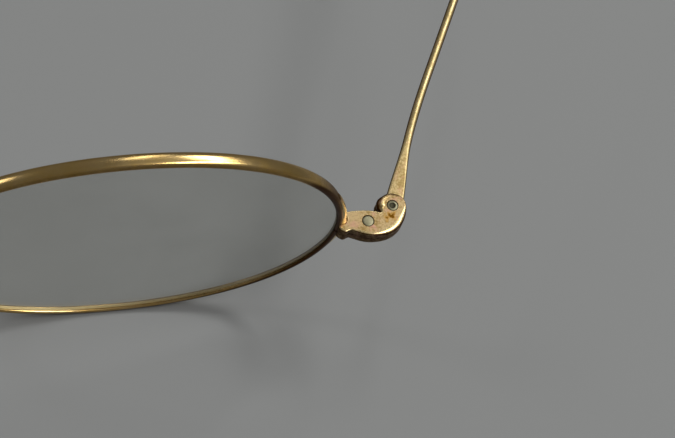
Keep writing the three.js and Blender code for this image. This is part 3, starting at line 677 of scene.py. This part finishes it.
# Strap of the end piece: a bar that lies on the eyewire's crown and thins to a rounded tip. Its
# seat follows the wire's section, crown * ((1 - |2 back / depth|^n)^(1/n) - 1). At its foot a
# hollow of solder against the plate, 1 - sqrt(1 - low^2) of its radius, is fullest at the back.
def strapSheet(direction):
    s = strap
    foot = endPiece["height"] / 2
    hollow = s["filletRise"] * (1 - np.cos(np.linspace(0, np.pi / 2, s["filletSteps"])))
    bar = np.linspace(foot + hollow[-1], s["reach"], s["steps"])[1:]
    along = np.r_[s["start"], foot + hollow, bar][:, None]
    share = along / s["reach"]
    angle = splitAngle + direction * along / eye["halfHeight"]
    turn = np.linspace(0, 2 * np.pi, s["sectionSteps"], endpoint=False)
    thick = between(*s["thickness"], share ** 2)
    width = between(*s["width"], share) * np.sqrt(np.clip(1 - share ** s["tipPower"], 0, 1))
    low = np.clip(1 - (along - foot) / s["filletRise"], 0, 1)
    fullness = 1 - s["filletLean"] + s["filletLean"] * np.cos(turn)
    solder = s["filletOut"] * (1 - np.sqrt(1 - low ** 2)) * fullness
    bulge = np.abs(np.sin(turn)) ** s["roundness"]
    back = width / 2 * np.cos(turn)
    aside = np.abs(2 * back / eyewire["depth"]) ** eyewire["fullness"]
    seat = eyewire["crown"] * ((1 - aside) ** (1 / eyewire["fullness"]) - 1)
    out = seat + np.where(np.sin(turn) > 0, (thick + solder) * bulge, -s["sunk"] * bulge)
    rings = ovalPoints(angle, out, back)
    # pale along the bar, as wear and a painted highlight; darker toward the tip, for grime and as
    # painted shade; tarnished in the solder hollow at its foot
    wearAndPaintedLight = (s["wearAndPaintedLight"] + s["tipGrimeAndShade"] * easeIn(along, *s["tipRun"])
           + s["solderAge"] * easeIn(low, *s["solderRun"]))
    return capped(rings), cappedAge(wearAndPaintedLight)


# Both halves with their straps, the lower one a mirror image in z
def addEndPiece(side, sign):
    for half, direction in (("Upper", 1), ("Lower", -1)):
        sheets = endPieceSheets(direction) + [strapSheet(direction)]
        makePiece(side + "EndPiece" + half, sheets, plateGold, "front",
                  [side + "_endpiece_" + half.lower()], sign)


# Screw: a turned shank and head base, and below it the head's two cheeks beside the slot
def addScrew(name, radius, place, dimple, node, sign):
    s = screw
    top = endPiece["height"] / 2 - s["sink"]
    seat = -endPiece["height"] / 2 - s["seatGap"]
    head = radius + s["headExtra"]
    end = seat - s["headHeight"]
    slotFloor = end + s["slotDepth"]
    if dimple:
        low = top - s["dimpleDepth"]
        lipIn, lipDown = s["dimpleLip"]
        profile = [(0, low), (s["dimpleFloor"], low), (s["dimpleRadius"] - lipIn, top - lipDown),
                   (s["dimpleRadius"], top)]
        # the dimple is dark, for dirt in the hollow and as painted shade
        ages = s["dimpleDirtAndShade"]
    else:
        high = top + s["dome"]
        inner, outer = s["domeRings"]
        profile = [(0, high), (inner * radius, high), (outer * radius, top)]
        ages = s["domeAge"]
    profile += [(radius - s["ease"], top - s["dome"]), (radius, top - s["ease"]), (radius, seat),
                (head - s["ease"], seat), (head, seat - s["ease"]), (head, slotFloor),
                (0, slotFloor)]
    sheets = [(turned(profile, place), np.r_[ages, s["shankAge"]][:, None])]
    reach = np.degrees(np.arccos(s["slotWidth"] / 2 / head))
    cheek = arc((0, 0), head, -reach, reach, s["cheekSteps"])
    slotWall = np.linspace(cheek[-1, 1], cheek[0, 1], s["slotSteps"] + 2)[1:-1]
    plan = np.vstack([cheek, np.column_stack([np.full(s["slotSteps"], cheek[-1, 0]), slotWall])])
    middle = plan.mean(0)
    root = slotFloor + s["overlap"]
    levels = [(0.0, root), (1.0, root), (1.0, end + s["ease"]), (s["cheekEase"], end), (0.0, end)]
    lines = [np.column_stack([between(middle, plan, share), np.full(len(plan), height)])
             for share, height in levels]
    for flip in (1, -1):
        sheets.append((np.array(lines) * (flip, 1, 1) + place, s["cheekAge"]))
    makePiece(name, sheets, screwSteel, "front", [node], sign)


# The closing screw ends in a low dome, the pivot screw in a dimple
def addScrews(side, sign):
    closing = rimEnd + (*endPiece["closing"], 0)
    addScrew(side + "ClosingScrew", screw["closingRadius"], closing, False,
             side + "_closing_screw", sign)
    addScrew(side + "PivotScrew", screw["pivotRadius"], pivot, True, side + "_pivot_screw", sign)


temple = {"thickness": 0.62, "eyeRadius": 1.1, "eyeEase": 0.05, "offset": 0.18, "start": 0.6,
          "rootWidth": 1.66, "wire": 0.78, "taperEnd": 7.2, "rounding": (3.4, 9.4), "edge": 0.2,
          "tongueSplay": 21.0, "wireSplay": 27.6, "earSplay": -3.0, "bend": (3, 15.4),
          "bow": (23, 68), "droop": 4.5, "droopRun": (24, 60), "reach": 100.0,
          "curlRadius": 17.0, "curlSweep": 150.0, "lineStep": 0.05, "fineEnd": 14,
          "fineStep": 0.08, "step": 0.4, "curlSteps": 130, "sideAge": 0.9,
          "flatSide": (0.58, 0.86), "roundSide": (0.54, 0.97), "crownWearAndHighlight": (-0.1, -0.5),
          "crownBand": (0.2, 0.46), "bevelWearAndHighlight": -0.7, "bevelBand": (0.05, 0.3), "eyeAge": 0.7}
# length of the centre line to the end of the curl
templeEnd = temple["reach"] + temple["curlRadius"] * np.radians(temple["curlSweep"])
ball = {"diameter": 1.6, "socket": 0.6, "clearance": 0.03, "steps": 28, "around": 48, "wearAndPaintedLight": -0.1}


# Splay and fall of the temple at a length along it, each eased from one value to the next
def templeAim(along):
    t = temple
    splay = np.radians(between(t["tongueSplay"], t["wireSplay"], easeIn(along, *t["bend"]))
                       + (t["earSplay"] - t["wireSplay"]) * easeIn(along, *t["bow"]))
    curl = t["curlSweep"] * np.clip((along - t["reach"]) / (templeEnd - t["reach"]), 0, 1)
    fall = np.radians(t["droop"] * easeIn(along, *t["droopRun"]) + curl)
    level = np.cos(fall)
    aim = np.stack([np.sin(splay) * level, np.cos(splay) * level, -np.sin(fall)], -1)
    across = np.stack([np.cos(splay), -np.sin(splay), 0 * splay], -1)
    return aim, across


# Centre line: the aims added up in small steps from beside the pivot
def templeLine(along):
    step = temple["lineStep"]
    fine = np.arange(0, templeEnd + step, step)
    aim = templeAim(fine[:-1] + step / 2)[0]
    line = np.vstack([np.zeros(3), np.cumsum(aim * step, 0)]) + (temple["offset"], 0, 0)
    return np.stack([np.interp(along, fine, line[:, k]) for k in range(3)], -1)


fullRound = 0.499  # corner of a bar that is all but round, as a share of its width


# Bar section: four quarter rounds about the corners of a smaller rectangle
def barRing(width, height, corner, steps=9):
    quarter = np.linspace(0, np.pi / 2, steps)
    turn = np.concatenate([quarter + k * np.pi / 2 for k in range(4)])
    signU = np.repeat([1, -1, -1, 1], steps)
    signV = np.repeat([1, 1, -1, -1], steps)
    return (signU * (width / 2 - corner) + corner * np.cos(turn),
            signV * (height / 2 - corner) + corner * np.sin(turn))


# A bar on the centre line that eases from a flat tongue to round wire; its bevels and top are
# paler, as wear and painted highlights, and its sides darker, for tarnish and as painted shade; it
# carries an eye round the pivot and a ball on its end
def addTemple(side, sign):
    t = temple
    along = np.r_[np.arange(t["start"], t["fineEnd"], t["fineStep"]),
                  np.arange(t["fineEnd"], t["reach"], t["step"]),
                  np.linspace(t["reach"], templeEnd, t["curlSteps"])]
    place = templeLine(along) + pivot
    aim, across = templeAim(along)
    up = np.cross(across, aim)
    slim = easeIn(along, 0, t["taperEnd"])[:, None]
    rounded = easeIn(along, *t["rounding"])[:, None]
    width = between(t["rootWidth"], t["wire"], slim)
    height = between(t["thickness"], t["wire"], rounded)
    corner = between(t["edge"], fullRound * t["wire"], rounded)
    u, v = barRing(width, height, corner)
    rings = place[:, None] + u[..., None] * across[:, None] + v[..., None] * up[:, None]
    over = (np.abs(u) - width / 2 + corner) / corner
    crown = easeIn(v / height, *t["crownBand"])
    darkFrom, darkTo = (between(t["flatSide"][k], t["roundSide"][k], rounded) for k in (0, 1))
    dark = easeIn(over, darkFrom, darkTo)
    worn = easeIn(over, *t["bevelBand"]) * (1 - rounded)
    wearAndPaintedLight = (t["sideAge"] * dark + crown * between(*t["crownWearAndHighlight"], rounded)
           + t["bevelWearAndHighlight"] * worn * (1 - dark))
    half = t["thickness"] / 2
    bore = screw["pivotRadius"] + screw["clearance"]
    rim, ease = t["eyeRadius"], t["eyeEase"]
    profile = [(bore, -half), (rim - ease, -half), (rim, ease - half), (rim, half - ease),
               (rim - ease, half), (bore, half), (bore, -half)]
    sheets = [(capped(rings), cappedAge(wearAndPaintedLight)), (turned(profile, pivot), t["eyeAge"])]
    body = side + "_side"
    makePiece(side + "Temple", sheets, templeGold, body, [side + "_temple"], sign)

    # ball tip: a sphere cut by the socket, turned about the wire's last direction
    radius, gap = ball["diameter"] / 2, ball["clearance"]
    socket = t["wire"] / 2 + gap
    mouth = np.arcsin(socket / radius)
    turn = np.linspace(mouth, np.pi, ball["steps"])
    high = gap - ball["socket"] + radius * (np.cos(mouth) - np.cos(turn))
    profile = [(0, gap), (socket, gap)] + list(zip(radius * np.sin(turn), high))
    shape = turned(profile, np.zeros(3), ball["around"])
    axes = np.array([across[-1], up[-1], aim[-1]])
    makePiece(side + "TempleTip", [(shape @ axes + place[-1], ball["wearAndPaintedLight"])], templeGold, body,
              [side + "_temple_tip"], sign)


bridge = {"wire": 1.2, "footRise": 2.2, "shoulderIn": 4.2, "shoulderBack": 1.1,
          "shoulderRise": 1.3, "crestRise": 7.4, "crestBack": 2.6, "halfSpan": 3.2, "fall": 1.0,
          "endForward": 0.4, "saddleWidth": 2.4, "saddleThickness": 0.9, "flatEnd": 1.8,
          "roundStart": 6.3, "noseSlope": 32, "sunk": 0.46, "solder": 0.2, "solderRun": 0.4,
          "steps": 200, "wearAndPaintedLight": -0.1}


# Smooth line through points: cubic spans whose slopes come from the root of each chord's length
def threaded(points, steps):
    points = np.array(points)
    points = np.vstack([2 * points[0] - points[1], points, 2 * points[-1] - points[-2]])
    chord = np.linalg.norm(np.diff(points, axis=0), axis=1)[:, None] ** 0.5
    spans = len(points) - 3
    at = np.linspace(0, spans, steps)
    k = np.minimum(at.astype(int), spans - 1)
    s = (at - k)[:, None]
    a, b, c, d = (points[k + n] for n in range(4))
    d0, d1, d2 = (chord[k + n] for n in range(3))
    slopeB = ((b - a) / d0 - (c - a) / (d0 + d1) + (c - b) / d1) * d1
    slopeC = ((c - b) / d1 - (d - b) / (d1 + d2) + (d - c) / d2) * d1
    return (b + slopeB * s + (3 * (c - b) - 2 * slopeB - slopeC) * s ** 2
            + (2 * (b - c) + slopeB + slopeC) * s ** 3)


# A bar on a smooth line over the nose, flat at the saddle and round at its feet, which are sunk
# into the rims and thickened there by a collar of solder
def addBridge():
    b = bridge
    foot = eye["centre"] - eye["halfWidth"]
    half = [(foot + b["sunk"], 0, b["footRise"]), (foot - b["wire"] / 2, 0, b["footRise"]),
            (foot - b["shoulderIn"], b["shoulderBack"], b["footRise"] + b["shoulderRise"]),
            (b["halfSpan"], b["crestBack"] - b["endForward"], b["crestRise"] - b["fall"])]
    crest = [(0, b["crestBack"], b["crestRise"])]
    place = threaded(half + crest + [(-x, y, z) for x, y, z in half[::-1]], b["steps"])
    aim = np.gradient(place, axis=0)
    aim /= np.linalg.norm(aim, axis=1, keepdims=True)
    slope = np.radians(b["noseSlope"])
    ridge = np.array([0, -np.sin(slope), -np.cos(slope)])
    along = ridge - aim * (aim @ ridge)[:, None]
    along /= np.linalg.norm(along, axis=1, keepdims=True)
    across = np.cross(aim, along)
    rounded = easeIn(np.abs(place[:, :1]), b["flatEnd"], b["roundStart"])
    width = between(b["saddleWidth"], b["wire"], rounded)
    height = between(b["saddleThickness"], b["wire"], rounded)
    atFoot = easeIn(np.abs(place[:, :1]), foot - b["solderRun"], foot + b["sunk"])
    collar = 1 + b["solder"] * atFoot
    u, v = barRing(width * collar, height * collar, fullRound * np.minimum(width, height) * collar)
    rings = place[:, None] + u[..., None] * along[:, None] + v[..., None] * across[:, None]
    makePiece("saddleBridge", [(capped(rings), b["wearAndPaintedLight"])], rimGold, "front",
              ["bridge"])


for side, sign in (("left", 1), ("right", -1)):
    addEyewire(side, sign)
    addLens(side, sign)
    addEndPiece(side, sign)
    addScrews(side, sign)
    addTemple(side, sign)
    print(side, "half made")
addBridge()
print("bridge made")

stage = {"floor": "#919291", "floorSize": 6.0, "floorRoughness": 0.9, "floorGloss": 0.1,
         "world": "#717171", "worldLight": 1.0}
# Windows, a dim panel, a strip and a small pane, placed where the photograph's gold mirrors them:
# name, direction from the left pivot as the part stands, distance m, width m, height m, brightness
lamps = [("sideWindow", (0.525, 0.24, 0.815), 1.2, 0.46, 0.21, 12.5),
         ("frontWindow", (0.515, -0.32, 0.795), 1.2, 0.75, 0.21, 13.5),
         ("overheadPanel", (0.25, -0.02, 0.96), 1.1, 1.4, 0.5, 0.16),
         ("backStrip", (0.15, 0.46, 0.875), 1.0, 0.1, 0.4, 4.6),
         ("leftPane", (-0.7, 0.34, 0.63), 1.2, 0.22, 0.3, 4.0)]


# A flat floor under even grey light, and the lamps, each turned to face the left pivot
def addStage():
    mesh = bpy.data.meshes.new("paleFloor")
    half = stage["floorSize"] / 2
    mesh.from_pydata([(-half, -half, 0), (half, -half, 0), (half, half, 0), (-half, half, 0)], [],
                     [(0, 1, 2, 3)])
    material, tree = newMaterial("paleFloorPaint")
    surface = addNode(tree, "ShaderNodeBsdfPrincipled", {
        "Base Color": toLinear(stage["floor"]), "Roughness": stage["floorRoughness"],
        "Specular IOR Level": stage["floorGloss"]})
    addNode(tree, "ShaderNodeOutputMaterial", {"Surface": surface.outputs["BSDF"]})
    mesh.materials.append(material)
    floor = bpy.data.objects.new("paleFloor", mesh)
    bpy.context.scene.collection.objects.link(floor)
    world = bpy.data.worlds.new("studio")
    world.use_nodes = True
    world.node_tree.nodes.clear()
    light = addNode(world.node_tree, "ShaderNodeBackground", {
        "Color": toLinear(stage["world"]), "Strength": stage["worldLight"]})
    addNode(world.node_tree, "ShaderNodeOutputWorld", {"Surface": light.outputs["Background"]})
    bpy.context.scene.world = world
    aimed = toFrame(pivot)
    for name, direction, distance, width, height, brightness in lamps:
        data = bpy.data.lights.new(name, "AREA")
        data.shape = "RECTANGLE"
        data.size, data.size_y = width, height
        data.energy = brightness * np.pi * width * height
        lamp = bpy.data.objects.new(name, data)
        back = np.array(direction) / np.linalg.norm(direction)
        right = np.cross((0, 0, 1), back)
        right /= np.linalg.norm(right)
        stance = np.eye(4)
        stance[:3, :3] = np.array([right, np.cross(back, right), back]).T
        stance[:3, 3] = aimed + back * distance
        lamp.matrix_world = Matrix(stance.tolist())
        bpy.context.scene.collection.objects.link(lamp)


addStage()
bpy.context.scene.view_settings.view_transform = "Standard"
print("stage lit")
